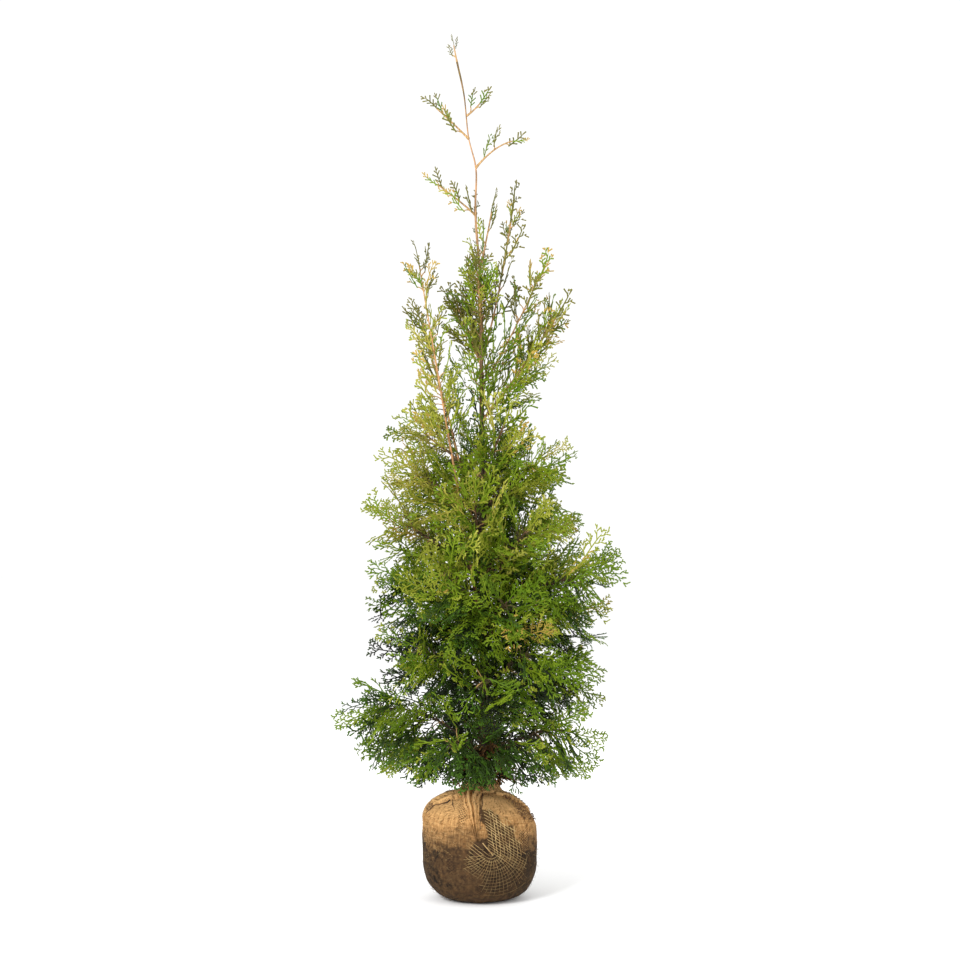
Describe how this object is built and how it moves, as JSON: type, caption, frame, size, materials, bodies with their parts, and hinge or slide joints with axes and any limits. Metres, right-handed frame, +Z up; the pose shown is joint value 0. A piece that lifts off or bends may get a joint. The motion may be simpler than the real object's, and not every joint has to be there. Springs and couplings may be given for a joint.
{
  "type": "balled and burlapped arborvitae",
  "caption": "Young columnar evergreen with one leader and feathery ascending branches, standing on its burlap-wrapped root ball.",
  "frame": {"origin": "centre of the root ball's flat underside", "axes": "+Z up along the trunk, -Y towards the viewer of the picture, +X to the viewer's right"},
  "size_m": [0.5724, 0.4308, 1.724],
  "materials": {
    "burlap": "matte open weave jute, stained with soil",
    "bark": "rough fibrous bark",
    "young_bark": "smooth thin young bark",
    "deep_foliage": "satin scale leaves in flat sprays",
    "bright_foliage": "satin scale leaves in flat sprays"
  },
  "bodies": {
    "root": {"root_ball": "burlap", "cloth_collar": "burlap", "cloth_tail": "burlap", "cloth_fold": "burlap", "trunk": "bark", "bough_skirt_left": "bark", "bough_skirt_back_left": "bark", "bough_skirt_back_right": "bark", "bough_skirt_right": "bark", "bough_skirt_front_right": "bark", "bough_skirt_front_left": "bark", "bough_lower_left": "bark", "bough_lower_right": "bark", "bough_lower_front_right": "bark", "bough_lower_front": "bark", "bough_coleader_left": "young_bark", "bough_coleader_outer": "young_bark", "bough_coleader_top": "young_bark", "foliage_skirt_left": "deep_foliage", "foliage_skirt_back_left": "deep_foliage", "foliage_skirt_back": "deep_foliage", "foliage_skirt_back_right": "deep_foliage", "foliage_skirt_right": "deep_foliage", "foliage_skirt_front_right": "deep_foliage", "foliage_skirt_front_left": "deep_foliage", "foliage_lower_left": "deep_foliage", "foliage_lower_back_left": "deep_foliage", "foliage_lower_back_right": "deep_foliage", "foliage_lower_right": "deep_foliage", "foliage_lower_front_right": "deep_foliage", "foliage_lower_front": "deep_foliage", "foliage_middle_low_right": "deep_foliage", "foliage_middle_right": "deep_foliage", "foliage_middle_back_right": "deep_foliage", "foliage_middle_back": "deep_foliage", "foliage_middle_left": "deep_foliage", "foliage_middle_front_left": "deep_foliage", "foliage_middle_front": "deep_foliage", "foliage_shoulder_right": "deep_foliage", "foliage_shoulder_front_right": "deep_foliage", "foliage_shoulder_back": "deep_foliage", "foliage_shoulder_left": "deep_foliage", "foliage_shoulder_front": "deep_foliage", "foliage_upper_right": "bright_foliage", "foliage_upper_left": "deep_foliage", "foliage_upper_back": "bright_foliage", "foliage_upper_front": "bright_foliage", "foliage_coleader_left": "bright_foliage", "foliage_coleader_outer": "bright_foliage", "foliage_coleader_right": "bright_foliage", "foliage_coleader_top": "bright_foliage", "foliage_crown_right": "bright_foliage", "foliage_crown_left": "bright_foliage", "foliage_crown_front": "bright_foliage", "foliage_twig_right": "bright_foliage", "foliage_twig_left": "bright_foliage", "foliage_twig_high_right": "bright_foliage", "foliage_twig_high_left": "bright_foliage", "foliage_twig_top": "bright_foliage", "foliage_leader_tip": "bright_foliage"}
  },
  "joints": []
}
